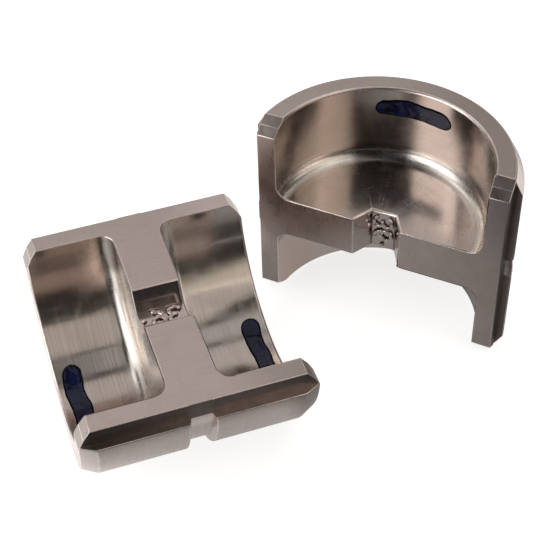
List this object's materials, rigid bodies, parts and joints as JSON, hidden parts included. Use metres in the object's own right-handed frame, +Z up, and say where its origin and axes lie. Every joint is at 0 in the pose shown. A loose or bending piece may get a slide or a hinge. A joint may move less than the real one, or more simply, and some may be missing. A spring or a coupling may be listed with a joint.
{
  "type": "crimping die set",
  "caption": "Crimping die set for a hydraulic head: round-backed steel halves, each with a retaining groove, pocketed ends and a half-hexagon nest across its parting face.",
  "frame": {"origin": "centre of the whole set's bounding box, on the surface that both halves rest on", "axes": "+X along the crimp axis of the lying half, towards the standing half; +Y away from the viewer of the picture; +Z up, out of the lying half's parting face"},
  "size_m": [0.0814, 0.0522, 0.0381],
  "materials": {
    "die_steel_lower": "satin ground and milled steel",
    "die_steel_upper": "satin ground and milled steel"
  },
  "bodies": {
    "root": {"lower_die_half": "die_steel_lower", "upper_die_half": "die_steel_upper"}
  },
  "joints": []
}
